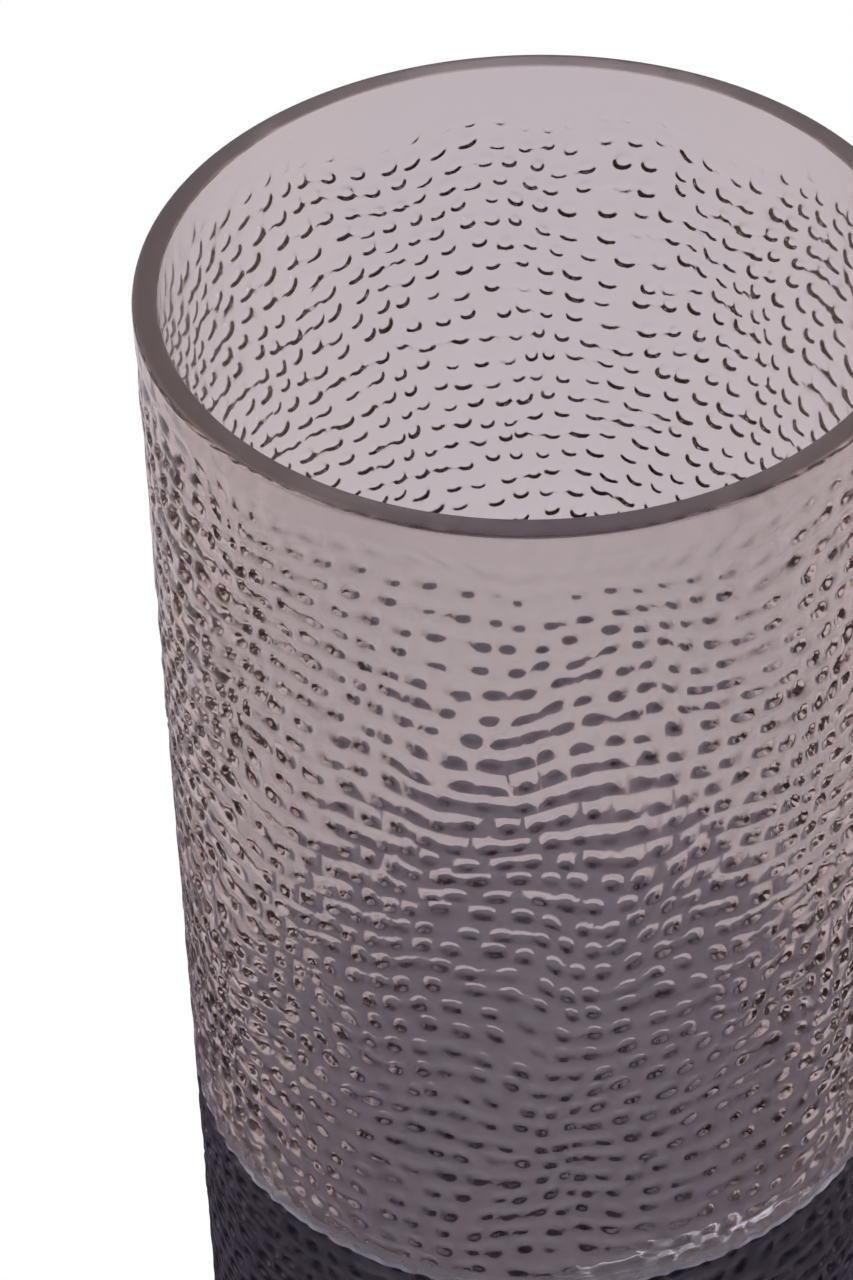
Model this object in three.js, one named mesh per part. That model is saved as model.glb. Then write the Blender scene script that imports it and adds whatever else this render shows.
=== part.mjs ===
// Two-tone glass cylinder vase: a pale mauve glass tube joined, through a thin clear
// ring, to a dark purple glass cup that holds the floor of the vase.
// Millimetres, +Z up, origin on the floor at the middle of the underside.

import * as THREE from "three";

// Driving dimensions
const HEIGHT = 350; // underside to rim
const OUTER_RADIUS = 60.5; // between the small dimples that cover the outside
const WALL = 3.9; // glass thickness between the dimples
const MAUVE_HEIGHT = 160; // rim to the clear ring
const SEAM_RING_HEIGHT = 1.0; // the pale line between the two colours
const JOINT_GAP = 0.3; // bond line above and below the clear ring
const FLOOR_THICKNESS = 12; // solid glass under the cavity
const RECESS_DEPTH = 1.5; // hollow ground into the underside
const STANDING_RING_WIDTH = 11; // flat ring that the vase stands on

// Edge roundings
const RIM_OUTER_ROUND = 1.0;
const RIM_INNER_ROUND = 0.6;
const JOINT_ROUND = 0.4; // edges on both sides of the joint
const HEEL_ROUND = 3; // outer edge of the underside
const FLOOR_FILLET = 6; // inside corner between wall and floor
const RECESS_SLOPE = 6; // width of the slope round the ground hollow
const SEAM_RING_INSET = 0.3; // the ring stands back from both wall faces

// Worked out from the above
const INNER_RADIUS = OUTER_RADIUS - WALL;
const TUBE_BOTTOM = HEIGHT - MAUVE_HEIGHT + JOINT_GAP;
const SEAM_RING_TOP = HEIGHT - MAUVE_HEIGHT;
const SEAM_RING_BOTTOM = SEAM_RING_TOP - SEAM_RING_HEIGHT;
const CUP_TOP = SEAM_RING_BOTTOM - JOINT_GAP;
const STANDING_RING_OUTER = OUTER_RADIUS - HEEL_ROUND;
const STANDING_RING_INNER = STANDING_RING_OUTER - STANDING_RING_WIDTH;

// Fineness of the round shapes
const SIDES = 72;
const ARC_DETAIL = 2;
const QUARTER = Math.PI / 2;

// Turns a profile, radius against height, into a solid of revolution about +Z.
function turned(profile) {
  const geometry = new THREE.LatheGeometry(profile.getPoints(ARC_DETAIL), SIDES);
  geometry.rotateX(QUARTER);
  return geometry;
}

function glass(color, opacity) {
  return new THREE.MeshStandardMaterial({
    color,
    roughness: 0.08,
    metalness: 0,
    transparent: true,
    opacity,
  });
}

// A quarter-round edge of the profile, centred at (radius, height).
function edge(profile, radius, height, round, from) {
  profile.absarc(radius, height, round, from, from + QUARTER, false);
}

function mauveTube() {
  const profile = new THREE.Path();
  profile.moveTo(INNER_RADIUS + JOINT_ROUND, TUBE_BOTTOM);
  profile.lineTo(OUTER_RADIUS - JOINT_ROUND, TUBE_BOTTOM);
  edge(profile, OUTER_RADIUS - JOINT_ROUND, TUBE_BOTTOM + JOINT_ROUND, JOINT_ROUND, -QUARTER);
  edge(profile, OUTER_RADIUS - RIM_OUTER_ROUND, HEIGHT - RIM_OUTER_ROUND, RIM_OUTER_ROUND, 0);
  edge(profile, INNER_RADIUS + RIM_INNER_ROUND, HEIGHT - RIM_INNER_ROUND, RIM_INNER_ROUND, QUARTER);
  edge(profile, INNER_RADIUS + JOINT_ROUND, TUBE_BOTTOM + JOINT_ROUND, JOINT_ROUND, 2 * QUARTER);
  return new THREE.Mesh(turned(profile), glass(0xb8a9ab, 0.45));
}

function clearSeamRing() {
  const inner = INNER_RADIUS + SEAM_RING_INSET;
  const outer = OUTER_RADIUS - SEAM_RING_INSET;
  const profile = new THREE.Path();
  profile.moveTo(inner, SEAM_RING_BOTTOM);
  profile.lineTo(outer, SEAM_RING_BOTTOM);
  profile.lineTo(outer, SEAM_RING_TOP);
  profile.lineTo(inner, SEAM_RING_TOP);
  profile.lineTo(inner, SEAM_RING_BOTTOM);
  return new THREE.Mesh(turned(profile), glass(0xc9ccd6, 0.35));
}

function darkCup() {
  const profile = new THREE.Path();
  profile.moveTo(0, RECESS_DEPTH);
  profile.lineTo(STANDING_RING_INNER - RECESS_SLOPE, RECESS_DEPTH);
  profile.lineTo(STANDING_RING_INNER, 0);
  profile.lineTo(STANDING_RING_OUTER, 0);
  edge(profile, STANDING_RING_OUTER, HEEL_ROUND, HEEL_ROUND, -QUARTER);
  edge(profile, OUTER_RADIUS - JOINT_ROUND, CUP_TOP - JOINT_ROUND, JOINT_ROUND, 0);
  edge(profile, INNER_RADIUS + JOINT_ROUND, CUP_TOP - JOINT_ROUND, JOINT_ROUND, QUARTER);
  profile.lineTo(INNER_RADIUS, FLOOR_THICKNESS + FLOOR_FILLET);
  profile.absarc(
    INNER_RADIUS - FLOOR_FILLET,
    FLOOR_THICKNESS + FLOOR_FILLET,
    FLOOR_FILLET,
    0,
    -QUARTER,
    true,
  );
  profile.lineTo(0, FLOOR_THICKNESS);
  return new THREE.Mesh(turned(profile), glass(0x2e2932, 0.92));
}

const vase = new THREE.Group();
const pieces = { mauve_tube: mauveTube(), clear_seam_ring: clearSeamRing(), dark_cup: darkCup() };
for (const [name, mesh] of Object.entries(pieces)) {
  mesh.name = name;
  vase.add(mesh);
}

export default vase;
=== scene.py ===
"""Two-tone glass cylinder vase: dimpled mauve tube, pale seam, dimpled dark cup.

Metres, +Z up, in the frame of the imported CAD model. The front of the vase faces -Y.
"""

import math

import bpy
import numpy as np
from mathutils import Matrix, Vector


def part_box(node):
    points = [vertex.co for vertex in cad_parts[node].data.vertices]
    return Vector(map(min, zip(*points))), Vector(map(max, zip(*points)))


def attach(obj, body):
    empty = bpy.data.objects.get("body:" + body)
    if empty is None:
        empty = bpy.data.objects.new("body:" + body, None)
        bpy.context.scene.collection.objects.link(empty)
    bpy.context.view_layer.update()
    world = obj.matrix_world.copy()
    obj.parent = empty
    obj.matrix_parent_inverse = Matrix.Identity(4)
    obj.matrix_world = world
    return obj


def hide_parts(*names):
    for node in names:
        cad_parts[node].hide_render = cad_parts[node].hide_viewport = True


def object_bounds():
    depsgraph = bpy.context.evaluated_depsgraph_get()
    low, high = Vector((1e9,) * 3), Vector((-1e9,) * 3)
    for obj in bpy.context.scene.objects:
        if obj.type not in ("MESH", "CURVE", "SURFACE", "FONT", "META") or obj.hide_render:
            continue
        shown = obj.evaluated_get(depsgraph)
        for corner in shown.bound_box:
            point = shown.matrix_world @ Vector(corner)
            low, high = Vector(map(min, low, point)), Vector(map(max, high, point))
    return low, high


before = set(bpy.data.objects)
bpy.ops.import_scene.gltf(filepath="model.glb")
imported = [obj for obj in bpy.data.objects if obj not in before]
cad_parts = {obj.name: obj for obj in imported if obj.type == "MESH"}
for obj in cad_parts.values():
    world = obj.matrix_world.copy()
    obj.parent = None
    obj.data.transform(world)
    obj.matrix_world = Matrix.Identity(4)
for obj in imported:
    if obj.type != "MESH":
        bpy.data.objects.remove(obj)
CAD_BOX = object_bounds()

# ---- the body, from the frame ----
MM = 0.001
OUTER_RADIUS = CAD_BOX[1][0]
HEIGHT = CAD_BOX[1][2]
SEAM_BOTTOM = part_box("clear_seam_ring")[0][2]
SEAM_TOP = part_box("clear_seam_ring")[1][2]
WALL = 3.9 * MM
INNER_RADIUS = OUTER_RADIUS - WALL
FLOOR_THICKNESS = 12 * MM
FLOOR_FILLET = 6 * MM
RECESS_DEPTH = 1.5 * MM
RECESS_SLOPE = 6 * MM
STANDING_RING_WIDTH = 11 * MM
HEEL_ROUND = 3 * MM
RIM_OUTER_ROUND = 1.0 * MM
RIM_INNER_ROUND = 0.6 * MM
HOLD = 0.2 * MM  # a loop this far from each rounding keeps the flats flat
FUSED = 0.05 * MM  # the glasses run into each other this far, so that light crosses the joint
TUBE_BOTTOM = SEAM_TOP - FUSED
CUP_TOP = SEAM_BOTTOM + FUSED

# ---- the dimples pressed into the outside ----
SEAM_LEVEL = (SEAM_BOTTOM + SEAM_TOP) / 2
DIMPLES_ROUND = 80
PITCH = 2 * math.pi * OUTER_RADIUS / DIMPLES_ROUND
ROW_HEIGHT = 4.4 * MM
DIMPLE_RADIUS = 1.85 * MM
RADIUS_SPREAD = 0.1  # of the radius
DIMPLE_DEPTH = 0.66 * MM
DEPTH_SPREAD = 0.15  # of the depth
DIMPLE_BOTTOM = 1.6  # how flat the bottom is
GROOVE_RADIUS = 1.05 * MM  # some neighbours have run together in the mould
GROOVE_DEPTH = 0.62 * DIMPLE_DEPTH
GROOVE_SHARE = 0.33  # of the neighbours
STRAY = 0.45 * MM  # how far a dimple sits from its place in the row
ROW_WANDER = 1.1 * MM  # how far the rows themselves wander
SEAM_CALM = 12 * MM  # the wandering dies down over this distance to the seam
LUMP_DEPTH = 0.08 * MM  # the glass between the dimples isn't quite flat
TOP_ROW = int((HEIGHT - RIM_OUTER_ROUND - SEAM_LEVEL) / ROW_HEIGHT - 0.5)
BOTTOM_ROW = -int((SEAM_LEVEL - HEEL_ROUND) / ROW_HEIGHT - 0.5)
ROWS = TOP_ROW - BOTTOM_ROW + 1
FADE_HEIGHT = 16 * MM  # the dimples shallow out over this height next to a plain edge
FADE_SWING = 0.35  # under the rim it is this share more in front and less behind
LOW_SHARE = 0.68  # how much of their depth the dimples keep from the seam down
LOW_FADE = 70 * MM  # the height above the seam over which they lose the rest
PLAIN_EDGE = 2 * MM  # the plain edge under the rim, on average
PLAIN_SWING = 5 * MM  # how much wider it is behind than at the sides
PLAIN_WAVE = 1.5 * MM  # how unevenly it ends
PLAIN_WAVES = 5  # round the vase
HEEL_EDGE = 2 * MM  # the plain edge over the heel
STILL_EDGE = 4 * MM  # nothing but the dimples moves the glass this near to the rim
STILL_HEEL = 8 * MM  # or to the underside
STILL_FADE = 4 * MM  # and beyond it the rest sets in over this height

# ---- how the mesh follows them ----
QUARTERS = 4  # steps along each side of a dimple's cell
QUARTERS_ROUND = DIMPLES_ROUND * QUARTERS
QUARTER_U = PITCH / QUARTERS
QUARTER_Z = ROW_HEIGHT / QUARTERS
RINGS = (0.36, 0.58, 0.8, 1.0)  # loops of vertices round each dimple, in dimple radii
CELL_LIMITS = (0.5, 0.7, 0.82, 0.92)  # and at most this share of the way to the cell's edge

rng = np.random.default_rng(7)


def smooth_step(x):
    x = np.clip(x, 0.0, 1.0)
    return x * x * (3 - 2 * x)


# The 16 steps round a cell's edge, in quarter cells from its middle.
EDGE_STEPS = np.array(
    [(2, 0), (2, 1), (2, 2), (1, 2), (0, 2), (-1, 2), (-2, 2), (-2, 1)]
    + [(-2, 0), (-2, -1), (-2, -2), (-1, -2), (0, -2), (1, -2), (2, -2), (2, -1)]
)
SPOKES = len(EDGE_STEPS)
HALF = SPOKES // 2


def make_dimples():
    """Arrays, row by column, of each dimple's place, size, depth and groove to the next one.

    Each row is shifted round the vase by up to two quarter cells more than the row below it.
    """
    shape = (ROWS, DIMPLES_ROUND)
    spread = np.clip(rng.normal(size=(4, *shape)), -2, 2)
    shift = np.cumsum(rng.choice([0, 1, 2, 2], size=ROWS))
    grooved = rng.random(shape) < GROOVE_SHARE
    rows, cols = np.meshgrid(np.arange(ROWS), np.arange(DIMPLES_ROUND), indexing="ij")
    return {
        "shift": shift,
        "cell_u": (cols + shift[rows] / QUARTERS) * PITCH,
        "cell_z": SEAM_LEVEL + (rows + BOTTOM_ROW) * ROW_HEIGHT,
        "u": (cols + shift[rows] / QUARTERS) * PITCH + STRAY * spread[0],
        "z": SEAM_LEVEL + (rows + BOTTOM_ROW) * ROW_HEIGHT + STRAY * spread[1],
        "radius": DIMPLE_RADIUS * (1 + RADIUS_SPREAD * spread[2]),
        "depth": DIMPLE_DEPTH * (1 + DEPTH_SPREAD * spread[3]),
        "groove": np.where(grooved, GROOVE_DEPTH, 0.0),
    }


def make_waves(count, shortest, longest):
    """Random waves that join up round the vase, as turns round it, climb up it and phase."""
    length = rng.uniform(shortest, longest, count)
    heading = rng.uniform(0, 2 * math.pi, count)
    turns = np.round(2 * math.pi * OUTER_RADIUS / length * np.cos(heading))
    climb = 2 * math.pi / length * np.sin(heading)
    phase = rng.uniform(0, 2 * math.pi, count)
    return np.stack([turns, climb, phase], axis=1)


def wave_sum(waves, angle, z):
    """The sum of the waves at each point, mostly between -2 and 2."""
    total = sum(np.sin(turns * angle + climb * z + phase) for turns, climb, phase in waves)
    return np.clip(total * math.sqrt(2 / len(waves)), -2, 2)


DIMPLES = make_dimples()
WANDER_ROUND = make_waves(12, 22 * MM, 60 * MM)
WANDER_UP = make_waves(12, 22 * MM, 60 * MM)
LUMPS = make_waves(30, 5 * MM, 12 * MM)


def round_gap(u):
    """A distance round the vase, taken the short way."""
    turn = 2 * math.pi * OUTER_RADIUS
    return (u + turn / 2) % turn - turn / 2


def bowl_depth(share):
    """Depth of a bowl of unit depth, at a share of its radius: soft at its edge, flat below."""
    share = np.minimum(share, 1.0)
    return 0.5 + 0.5 * np.cos(math.pi * share**DIMPLE_BOTTOM)


def dimple_depth(u, z, row, col):
    """How deep one dimple, or its groove to the next one in the row, is at each point."""
    after = (col + 1) % DIMPLES_ROUND
    across = round_gap(u - DIMPLES["u"][row, col])
    up = z - DIMPLES["z"][row, col]
    share = np.hypot(across, up) / DIMPLES["radius"][row, col]
    bowl = DIMPLES["depth"][row, col] * bowl_depth(share)
    gap_u = round_gap(DIMPLES["u"][row, after] - DIMPLES["u"][row, col])
    gap_z = DIMPLES["z"][row, after] - DIMPLES["z"][row, col]
    along = np.clip((across * gap_u + up * gap_z) / (gap_u**2 + gap_z**2), 0, 1)
    away = np.hypot(across - along * gap_u, up - along * gap_z) / GROOVE_RADIUS
    groove = DIMPLES["groove"][row, col] * bowl_depth(away)
    return np.maximum(bowl, groove)


def pressed_depth(angle, z):
    """How deep the outside is pressed in at each point."""
    u = angle * OUTER_RADIUS
    near_row = np.round((z - SEAM_LEVEL) / ROW_HEIGHT).astype(int) - BOTTOM_ROW
    depth = np.zeros_like(u)
    for row_step in (-1, 0, 1):
        row = np.clip(near_row + row_step, 0, ROWS - 1)
        near_col = np.round(u / PITCH - DIMPLES["shift"][row] / QUARTERS).astype(int)
        for col_step in (-1, 0, 1):
            col = (near_col + col_step) % DIMPLES_ROUND
            depth = np.maximum(depth, dimple_depth(u, z, row, col))
    plain = PLAIN_EDGE - PLAIN_SWING * np.cos(angle) + PLAIN_WAVE * np.sin(PLAIN_WAVES * angle + 1)
    depth *= smooth_step((HEIGHT - plain - z) / (FADE_HEIGHT * (1 + FADE_SWING * np.cos(angle))))
    depth *= smooth_step((z - HEEL_ROUND - HEEL_EDGE) / FADE_HEIGHT)
    depth *= LOW_SHARE + (1 - LOW_SHARE) * smooth_step((z - SEAM_LEVEL) / LOW_FADE)
    return depth + LUMP_DEPTH * (2 + wave_sum(LUMPS, angle, z)) * inside_share(z)


def inside_share(z):
    """One over most of the outside, falling to nothing at the rim and at the heel."""
    below_rim = smooth_step((HEIGHT - STILL_EDGE - z) / STILL_FADE)
    return below_rim * smooth_step((z - STILL_HEEL) / STILL_FADE)


def wandered(angle, z):
    """Where the wandering of the rows takes each point. The seam stays level."""
    share = ROW_WANDER * inside_share(z) * smooth_step(abs(z - SEAM_LEVEL) / SEAM_CALM)
    round_ = share * wave_sum(WANDER_ROUND, angle, z) / OUTER_RADIUS
    return angle + round_, z + share * wave_sum(WANDER_UP, angle, z)


class Sheet:
    """Collects the vertices and faces of one closed piece, in cylindrical coordinates."""

    def __init__(self):
        self.points = []
        self.faces = []
        self.pressed = []

    def add(self, angle, radius, height):
        self.points.append((angle, radius, height))
        return len(self.points) - 1

    def add_outside(self, angle, height):
        """A vertex on the outside, which the dimples press in later."""
        self.pressed.append(len(self.points))
        return self.add(angle, OUTER_RADIUS, height)

    def loop(self, angles, radius, height):
        """A level loop of vertices at the given angles."""
        return [self.add(a, radius, height) for a in angles]

    def band(self, lower, upper):
        """Faces between two loops with equally many vertices, facing away from the axis."""
        n = len(lower)
        for i in range(n):
            j = (i + 1) % n
            self.faces.append((lower[i], lower[j], upper[j], upper[i]))

    def skin(self, loops):
        """Bands all along a list of loops."""
        for lower, upper in zip(loops, loops[1:]):
            self.band(lower, upper)

    def angles_of(self, loop):
        return [self.points[i][0] for i in loop]

    def zip_loops(self, lower, upper):
        """Triangles between two loops with different counts, matched by angle.

        Both loops ought to start at the same angle. Where they don't, triangles fan out over the gap
        between the starts. At the seam that gap is 54 degrees, which is a known fault of these meshes.
        """
        a = unwrapped(self.angles_of(lower))
        b = unwrapped(self.angles_of(upper))
        i = j = 0
        while i < len(lower) or j < len(upper):
            next_a = a[i + 1] if i < len(lower) else math.inf
            next_b = b[j + 1] if j < len(upper) else math.inf
            here_low = lower[i % len(lower)]
            here_up = upper[j % len(upper)]
            if next_a <= next_b:
                i += 1
                self.faces.append((here_low, lower[i % len(lower)], here_up))
            else:
                j += 1
                self.faces.append((here_low, upper[j % len(upper)], here_up))

    def cap(self, loop, height, facing_up):
        """Closes a loop on the axis."""
        middle = self.add(0.0, 0.0, height)
        n = len(loop)
        for i in range(n):
            j = (i + 1) % n
            face = (loop[i], loop[j], middle)
            self.faces.append(face if facing_up else face[::-1])

    def positions(self):
        """Cartesian vertices, with the dimples pressed in."""
        points = np.array(self.points)
        pressed = np.array(self.pressed)
        angle, height = points[pressed, 0], points[pressed, 2]
        points[pressed, 1] -= pressed_depth(angle, height)
        points[pressed, 0], points[pressed, 2] = wandered(angle, height)
        angle, radius, height = points.T
        return np.stack([radius * np.sin(angle), -radius * np.cos(angle), height], axis=1)


def unwrapped(angles):
    """Angles that only grow, with the first one repeated a turn later at the end."""
    out = [angles[0]]
    for a in angles[1:]:
        while a < out[-1]:
            a += 2 * math.pi
        out.append(a)
    out.append(out[0] + 2 * math.pi)
    return out


def cell_points(sheet, corner, level, row, col, spokes):
    """The vertices of one cell: its edge, the loops round its dimple from the inside out, its middle."""
    place = (row - BOTTOM_ROW, col)
    off_u = DIMPLES["u"][place] - DIMPLES["cell_u"][place]
    off_z = 0.0 if row == 0 else DIMPLES["z"][place] - DIMPLES["cell_z"][place]
    middle_q = QUARTERS * col + DIMPLES["shift"][row - BOTTOM_ROW]
    middle_angle = (middle_q * QUARTER_U + off_u) / OUTER_RADIUS
    middle_level = row * ROW_HEIGHT + off_z
    edge, reach = [], []
    for s in spokes:
        step_u, step_z = EDGE_STEPS[s]
        edge.append(corner(middle_q + step_u, QUARTERS * row + step_z))
        reach.append((step_u * QUARTER_U - off_u, step_z * QUARTER_Z - off_z))
    loops = []
    for ring, limit in zip(RINGS, CELL_LIMITS):
        loop = []
        for along, up in reach:
            share = min(ring * DIMPLES["radius"][place] / math.hypot(along, up), limit)
            angle = middle_angle + share * along / OUTER_RADIUS
            loop.append(sheet.add_outside(angle, level(middle_level + share * up)))
        loops.append(loop)
    middle = sheet.add_outside(middle_angle, level(middle_level))
    return edge, loops, middle


def fill_cell(sheet, edge, loops, middle, whole):
    """The faces of one cell, all the way round its middle or half of it."""
    count = len(edge)
    pairs = list(zip(range(count), range(1, count)))
    if whole:
        pairs.append((count - 1, 0))
    for i, j in pairs:
        sheet.faces.append((middle, loops[0][i], loops[0][j]))
        for inner, outer in zip(loops, loops[1:] + [edge]):
            sheet.faces.append((inner[i], outer[i], outer[j], inner[j]))


def dimpled_wall(sheet, first_row, last_row, level):
    """A wall of cells, one to a dimple, between two rows. Row 0 is at the seam, and only half there.

    Level gives the height of a point from its height over the seam. Returns the wall's lowest and
    highest loop of vertices.
    """
    grid = {}

    def corner(qu, qz):
        key = (qu % QUARTERS_ROUND, qz)
        if key not in grid:
            grid[key] = sheet.add_outside(key[0] * QUARTER_U / OUTER_RADIUS, level(qz * QUARTER_Z))
        return grid[key]

    low_loop, high_loop = [], []
    for row in range(first_row, last_row + 1):
        half_up = row == 0 and first_row == 0
        half_down = row == 0 and last_row == 0
        spokes = list(range(SPOKES))
        if half_up:
            spokes = list(range(HALF + 1))
        if half_down:
            spokes = list(range(HALF, SPOKES)) + [0]
        for col in range(DIMPLES_ROUND):
            edge, loops, middle = cell_points(sheet, corner, level, row, col, spokes)
            fill_cell(sheet, edge, loops, middle, whole=not (half_up or half_down))
            ends = [edge[0]] + [loop[0] for loop in reversed(loops)]
            other_ends = [edge[-1]] + [loop[-1] for loop in reversed(loops)]
            if half_up:
                low_loop += other_ends + [middle] + ends[:0:-1]
            if half_down:
                high_loop += ends + [middle] + other_ends[:0:-1]
    if not low_loop:
        low_loop = [corner(q, QUARTERS * first_row - 2) for q in range(QUARTERS_ROUND)]
    if not high_loop:
        high_loop = [corner(q, QUARTERS * last_row + 2) for q in range(QUARTERS_ROUND)]
    return low_loop, high_loop


def rounded(radius, height, bend, start, end, steps=4):
    """Points of the profile round an arc, with one more just before and after it."""
    points = []
    for a in np.linspace(start, end, steps + 1):
        points.append((radius + bend * math.cos(a), height + bend * math.sin(a)))
    hold = math.copysign(HOLD, end - start)
    before = (points[0][0] + hold * math.sin(start), points[0][1] - hold * math.cos(start))
    after = (points[-1][0] - hold * math.sin(end), points[-1][1] + hold * math.cos(end))
    return [before] + points + [after]


def mesh_piece(name, sheet, material):
    """Makes the Blender object of a sheet, smooth but for its true edges."""
    mesh = bpy.data.meshes.new(name)
    mesh.from_pydata(sheet.positions().tolist(), [], sheet.faces)
    mesh.shade_smooth()
    mesh.set_sharp_from_angle(angle=math.radians(60))
    mesh.materials.append(material)
    piece = bpy.data.objects.new(name, mesh)
    bpy.context.scene.collection.objects.link(piece)
    return piece


def squeezed(z, start):
    """A height over the seam, pressed together beside it so that the wall begins at start."""
    gap = start - SEAM_LEVEL
    return SEAM_LEVEL + z + gap * max(0.0, 1 - abs(z) / ROW_HEIGHT)


def mauve_tube():
    sheet = Sheet()
    low, high = dimpled_wall(sheet, 0, TOP_ROW, lambda z: squeezed(z, TUBE_BOTTOM))
    angles = sheet.angles_of(high)
    profile = rounded(
        OUTER_RADIUS - RIM_OUTER_ROUND, HEIGHT - RIM_OUTER_ROUND, RIM_OUTER_ROUND, 0, math.pi / 2
    )
    profile += rounded(
        INNER_RADIUS + RIM_INNER_ROUND, HEIGHT - RIM_INNER_ROUND, RIM_INNER_ROUND, math.pi / 2, math.pi
    )
    profile.append((INNER_RADIUS, TUBE_BOTTOM))
    loops = [sheet.loop(angles, radius, height) for radius, height in profile]
    sheet.skin([high] + loops)
    sheet.zip_loops(loops[-1], low)
    return mesh_piece("mauve_glass_tube", sheet, mauve_glass())


def dark_cup():
    sheet = Sheet()
    low, high = dimpled_wall(sheet, BOTTOM_ROW, 0, lambda z: squeezed(z, CUP_TOP))
    angles = sheet.angles_of(low)
    ring_outer = OUTER_RADIUS - HEEL_ROUND
    ring_inner = ring_outer - STANDING_RING_WIDTH
    recess_edge = ring_inner - RECESS_SLOPE
    under = rounded(ring_outer, HEEL_ROUND, HEEL_ROUND, 0, -math.pi / 2, 6)
    under += [(ring_inner + HOLD, 0), (ring_inner, 0)]
    under += [(recess_edge, RECESS_DEPTH), (recess_edge - HOLD, RECESS_DEPTH)]
    under_loops = [sheet.loop(angles, radius, height) for radius, height in under]
    sheet.skin(([low] + under_loops)[::-1])
    sheet.cap(under_loops[-1], RECESS_DEPTH, facing_up=False)
    inside = [(INNER_RADIUS, CUP_TOP)]
    inside += rounded(
        INNER_RADIUS - FLOOR_FILLET, FLOOR_THICKNESS + FLOOR_FILLET, FLOOR_FILLET, 0, -math.pi / 2, 8
    )
    inside_loops = [sheet.loop(angles, radius, height) for radius, height in inside]
    sheet.skin(inside_loops)
    sheet.cap(inside_loops[-1], FLOOR_THICKNESS, facing_up=True)
    sheet.zip_loops(high, inside_loops[0])
    return mesh_piece("dark_glass_cup", sheet, dark_glass())


def clear_seam():
    """The pale ring, flush with the dimples that run over it from both sides."""
    sheet = Sheet()
    around = 2 * QUARTERS_ROUND
    angles = np.arange(around) * 2 * math.pi / around
    loops = []
    for height in np.linspace(SEAM_BOTTOM, SEAM_TOP, 4):
        loops.append([sheet.add_outside(a, height) for a in angles])
    loops.append(sheet.loop(angles, INNER_RADIUS, SEAM_TOP))
    loops.append(sheet.loop(angles, INNER_RADIUS, SEAM_BOTTOM))
    sheet.skin(loops + loops[:1])
    return mesh_piece("clear_seam", sheet, clear_glass())


# ---- materials ----
RIPPLE = 0.08 * MM  # soft ripples of the surface, inside and out
GLASS_IOR = 1.5
RIM_ROUGHNESS = 0.5  # the rim is ground flat and only half polished
RIM_START = HEIGHT - 0.4 * MM
RIM_END = HEIGHT - 0.1 * MM
NEAR_SHADE = 4.5 * OUTER_RADIUS  # painted shadow of the vase on the floor, which reflected rays see out to here
FAR_SHADE = 6.5 * OUTER_RADIUS  # and the lit floor from here on

# How fine each noise is, in patches to a metre
HAZE_SCALE = 45
RIPPLE_SCALE = 110
MILK_SCALE = 160


def node_material(name):
    material = bpy.data.materials.new(name)
    material.use_nodes = True
    nodes = material.node_tree.nodes
    nodes.clear()
    return material, nodes, material.node_tree.links


def noise(nodes, links, scale, stretch, detail):
    """Noise in metres on the piece, stretched by a factor along each axis."""
    place = nodes.new("ShaderNodeTexCoord")
    mapping = nodes.new("ShaderNodeMapping")
    mapping.inputs["Scale"].default_value = stretch
    texture = nodes.new("ShaderNodeTexNoise")
    texture.inputs["Scale"].default_value = scale
    texture.inputs["Detail"].default_value = detail
    links.new(place.outputs["Object"], mapping.inputs["Vector"])
    links.new(mapping.outputs["Vector"], texture.inputs["Vector"])
    return texture.outputs["Fac"]


def ranged(nodes, links, value, low, high):
    """Maps the middle of a noise, 0.3 to 0.7, to a range."""
    span = nodes.new("ShaderNodeMapRange")
    span.inputs["From Min"].default_value = 0.3
    span.inputs["From Max"].default_value = 0.7
    span.inputs["To Min"].default_value = low
    span.inputs["To Max"].default_value = high
    links.new(value, span.inputs["Value"])
    return span.outputs["Result"]


def uneven_haze(nodes, links, roughness):
    """Roughness in patches, with more of it on the rim."""
    haze = ranged(nodes, links, noise(nodes, links, HAZE_SCALE, (1, 1, 1), 4), *roughness)
    place = nodes.new("ShaderNodeTexCoord")
    split = nodes.new("ShaderNodeSeparateXYZ")
    rim = nodes.new("ShaderNodeMapRange")
    rim.inputs["From Min"].default_value = RIM_START
    rim.inputs["From Max"].default_value = RIM_END
    rim.inputs["To Max"].default_value = RIM_ROUGHNESS
    rougher = nodes.new("ShaderNodeMath")
    rougher.operation = "ADD"
    links.new(place.outputs["Object"], split.inputs["Vector"])
    links.new(split.outputs["Z"], rim.inputs["Value"])
    links.new(haze, rougher.inputs[0])
    links.new(rim.outputs["Result"], rougher.inputs[1])
    return rougher.outputs["Value"]


def glass_material(name, absorb_color, absorb_density, roughness, gleam):
    """Glass that tints by its thickness, with soft ripples, patches of haze and a satin rim."""
    material, nodes, links = node_material(name)
    out = nodes.new("ShaderNodeOutputMaterial")
    shader = nodes.new("ShaderNodeBsdfPrincipled")
    shader.inputs["Base Color"].default_value = (1, 1, 1, 1)
    shader.inputs["Transmission Weight"].default_value = 1.0
    shader.inputs["IOR"].default_value = GLASS_IOR
    shader.inputs["Specular Tint"].default_value = (*gleam, 1)
    links.new(uneven_haze(nodes, links, roughness), shader.inputs["Roughness"])
    bump = nodes.new("ShaderNodeBump")
    bump.inputs["Strength"].default_value = 1.0
    bump.inputs["Distance"].default_value = RIPPLE
    links.new(noise(nodes, links, RIPPLE_SCALE, (1, 1, 0.8), 1), bump.inputs["Height"])
    links.new(bump.outputs["Normal"], shader.inputs["Normal"])
    volume = nodes.new("ShaderNodeVolumeAbsorption")
    volume.inputs["Color"].default_value = (*absorb_color, 1)
    volume.inputs["Density"].default_value = absorb_density
    links.new(shader.outputs["BSDF"], out.inputs["Surface"])
    links.new(volume.outputs["Volume"], out.inputs["Volume"])
    return material


def mauve_glass():
    return glass_material("mauve_glass", (0.72, 0.54, 0.46), 80.0, (0.07, 0.14), (1, 0.82, 0.78))


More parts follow.
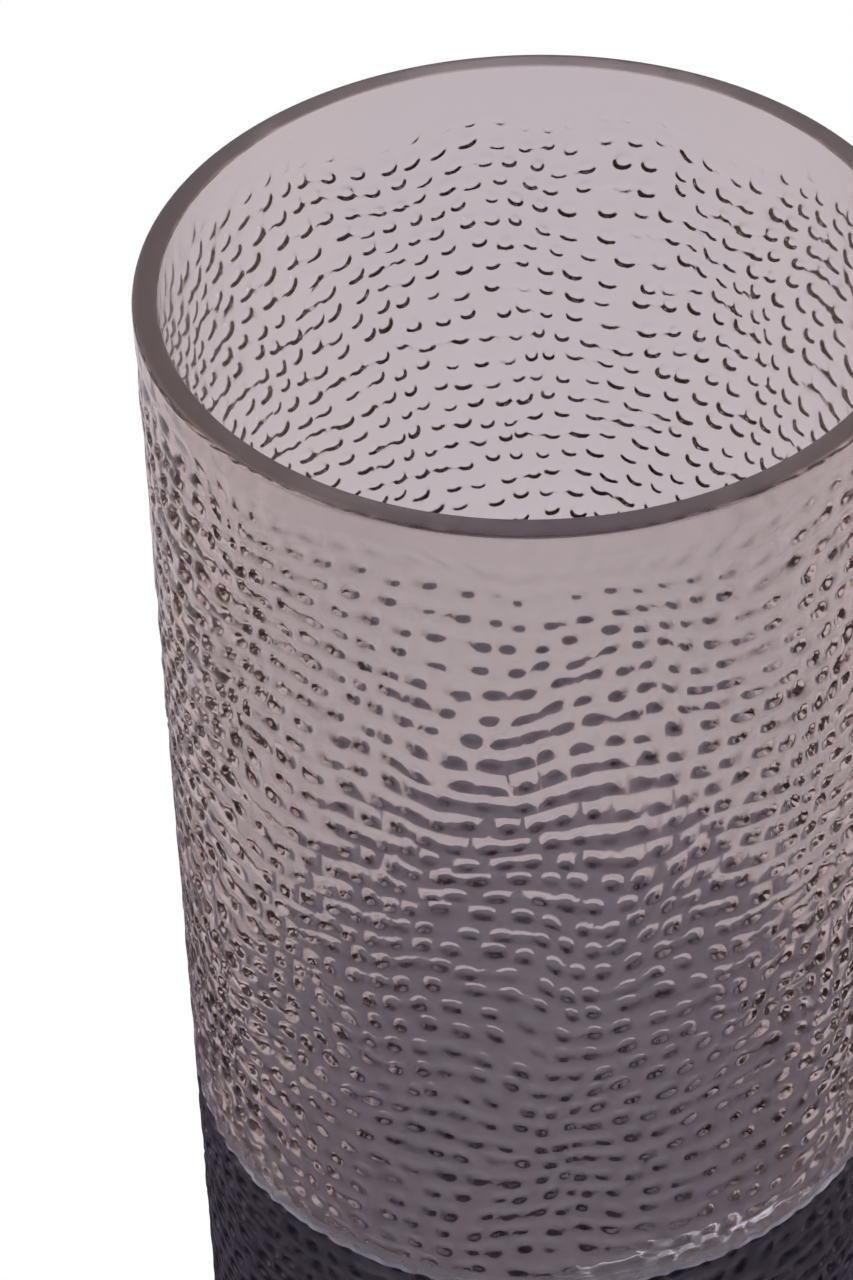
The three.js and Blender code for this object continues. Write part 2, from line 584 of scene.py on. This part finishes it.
def dark_glass():
    return glass_material("dark_glass", (0.3, 0.275, 0.33), 400.0, (0.12, 0.26), (1, 0.86, 1))


def clear_glass():
    """The pale seam: milky glass that catches light from all sides."""
    material, nodes, links = node_material("clear_glass")
    out = nodes.new("ShaderNodeOutputMaterial")
    shader = nodes.new("ShaderNodeBsdfPrincipled")
    shader.inputs["Base Color"].default_value = (0.68, 0.62, 0.65, 1)
    shader.inputs["Transmission Weight"].default_value = 0.3
    shader.inputs["IOR"].default_value = GLASS_IOR
    milk = noise(nodes, links, MILK_SCALE, (1, 1, 1), 3)
    links.new(ranged(nodes, links, milk, 0.15, 0.4), shader.inputs["Roughness"])
    links.new(shader.outputs["BSDF"], out.inputs["Surface"])
    return material


def mapped(nodes, links, value, start, end, low, high):
    """Eases a value from low, at start, to high, at end."""
    span = nodes.new("ShaderNodeMapRange")
    span.interpolation_type = "SMOOTHSTEP"
    span.inputs["From Min"].default_value = start
    span.inputs["From Max"].default_value = end
    span.inputs["To Min"].default_value = low
    span.inputs["To Max"].default_value = high
    links.new(value, span.inputs["Value"])
    return span.outputs["Result"]


def floor_material():
    """Pale floor: pure white to the camera. To other rays it has painted shade in front, and rays
    reflected onto it see a painted shadow of the vase around the foot.
    """
    material, nodes, links = node_material("pale_floor")
    out = nodes.new("ShaderNodeOutputMaterial")
    path = nodes.new("ShaderNodeLightPath")
    place = nodes.new("ShaderNodeTexCoord")
    distance = nodes.new("ShaderNodeVectorMath")
    distance.operation = "LENGTH"
    heading = nodes.new("ShaderNodeVectorMath")
    heading.operation = "NORMALIZE"
    split = nodes.new("ShaderNodeSeparateXYZ")
    links.new(place.outputs["Object"], distance.inputs[0])
    links.new(place.outputs["Object"], heading.inputs[0])
    links.new(heading.outputs["Vector"], split.inputs["Vector"])
    # painted shade: the floor darkens towards the front, the camera's side, as if that side lay in shade
    painted_front_shade = mapped(nodes, links, split.outputs["Y"], -0.75, 0.1, 1.0, 0.0)
    # painted shadow: near the vase, reflected rays see a dark shaded copy of the floor
    near = mapped(nodes, links, distance.outputs["Value"], NEAR_SHADE, FAR_SHADE, 1.0, 0.0)
    # the floor's own colour, mixed towards a dark painted shade in front
    color = nodes.new("ShaderNodeMix")
    color.data_type = "RGBA"
    color.inputs["A"].default_value = (0.66, 0.575, 0.545, 1)
    color.inputs["B"].default_value = (0.15, 0.14, 0.16, 1)
    lit = nodes.new("ShaderNodeBsdfDiffuse")
    shaded = nodes.new("ShaderNodeBsdfDiffuse")
    # the shaded copy of the floor: a painted shadow colour
    shaded.inputs["Color"].default_value = (0.1, 0.08, 0.1, 1)
    white = nodes.new("ShaderNodeEmission")
    shade = nodes.new("ShaderNodeMath")
    shade.operation = "MULTIPLY"
    by_mirror = nodes.new("ShaderNodeMixShader")
    by_camera = nodes.new("ShaderNodeMixShader")
    links.new(painted_front_shade, color.inputs["Factor"])
    links.new(color.outputs["Result"], lit.inputs["Color"])
    links.new(path.outputs["Is Reflection Ray"], shade.inputs[0])
    links.new(near, shade.inputs[1])
    links.new(shade.outputs["Value"], by_mirror.inputs["Fac"])
    links.new(lit.outputs["BSDF"], by_mirror.inputs[1])
    links.new(shaded.outputs["BSDF"], by_mirror.inputs[2])
    links.new(path.outputs["Is Camera Ray"], by_camera.inputs["Fac"])
    links.new(by_mirror.outputs["Shader"], by_camera.inputs[1])
    links.new(white.outputs["Emission"], by_camera.inputs[2])
    links.new(by_camera.outputs["Shader"], out.inputs["Surface"])
    return material


# ---- the studio ----
FLOOR_REACH = 4.0
SKY_COLOR = (0.9, 0.96, 1.14, 1)
SKY_FRONT = 0.3  # its strength low in front
SKY_BEHIND = 0.98  # and behind
MAX_BOUNCES = 24  # so that light that turns back inside the glass can get out again
LAMP_SIZE = 0.3
LAMP_WATTS = 3.0
CAMERA_PLACE = (-6.5 * MM, -564.3 * MM, HEIGHT + 419.6 * MM)
CAMERA_LEFT = 1.16  # degrees
CAMERA_DOWN = 41.04
CAMERA_ROLL = -2.02


def make_sheet(name, corners, material):
    """A flat sheet of the studio, not part of the vase."""
    mesh = bpy.data.meshes.new(name)
    mesh.from_pydata(corners, [], [(0, 1, 2, 3)])
    mesh.materials.append(material)
    sheet = bpy.data.objects.new(name, mesh)
    bpy.context.scene.collection.objects.link(sheet)


def make_floor():
    far = FLOOR_REACH
    corners = [(-far, -far, 0), (far, -far, 0), (far, far, 0), (-far, far, 0)]
    make_sheet("studio_floor", corners, floor_material())


def make_softbox(name, place):
    """A square lamp aimed at the middle of the vase."""
    data = bpy.data.lights.new(name, "AREA")
    data.size = LAMP_SIZE
    data.energy = LAMP_WATTS
    lamp = bpy.data.objects.new(name, data)
    away = Vector(place) - Vector((0, 0, HEIGHT / 2))
    lamp.rotation_euler = away.to_track_quat("Z", "Y").to_euler()
    lamp.location = place
    lamp.visible_camera = False
    bpy.context.scene.collection.objects.link(lamp)


def make_world():
    """A pale sky, darker low in front, where the photographer stands."""
    world = bpy.data.worlds.new("studio")
    world.use_nodes = True
    nodes, links = world.node_tree.nodes, world.node_tree.links
    background = nodes["Background"]
    background.inputs["Color"].default_value = SKY_COLOR
    place = nodes.new("ShaderNodeTexCoord")
    split = nodes.new("ShaderNodeSeparateXYZ")
    links.new(place.outputs["Generated"], split.inputs["Vector"])
    strength = mapped(nodes, links, split.outputs["Y"], -0.9, 0.2, SKY_FRONT, SKY_BEHIND)
    links.new(strength, background.inputs["Strength"])
    bpy.context.scene.world = world


def make_camera():
    data = bpy.data.cameras.new("camera")
    data.lens = 131.0
    data.sensor_width = 36.0
    data.clip_start = 0.05
    data.clip_end = 50.0
    camera = bpy.data.objects.new("camera", data)
    bpy.context.scene.collection.objects.link(camera)
    aim = (
        Matrix.Rotation(math.radians(CAMERA_LEFT), 4, "Z")
        @ Matrix.Rotation(math.radians(90 - CAMERA_DOWN), 4, "X")
        @ Matrix.Rotation(math.radians(CAMERA_ROLL), 4, "Z")
    )
    camera.matrix_world = Matrix.Translation(CAMERA_PLACE) @ aim
    bpy.context.scene.camera = camera


make_camera()
make_world()
make_floor()
make_softbox("softbox_left", (-0.8, 0.35, 1.1))
make_softbox("softbox_right", (0.9, 0.15, 1.0))
bpy.context.scene.view_settings.view_transform = "Standard"
bpy.context.scene.cycles.max_bounces = MAX_BOUNCES
bpy.context.scene.cycles.transmission_bounces = MAX_BOUNCES

for piece, node, slot in (
    (mauve_tube(), "mauve_tube", "mauve_glass"),
    (clear_seam(), "clear_seam_ring", "clear_glass"),
    (dark_cup(), "dark_cup", "dark_glass"),
):
    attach(piece, "root")
    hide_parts(node)
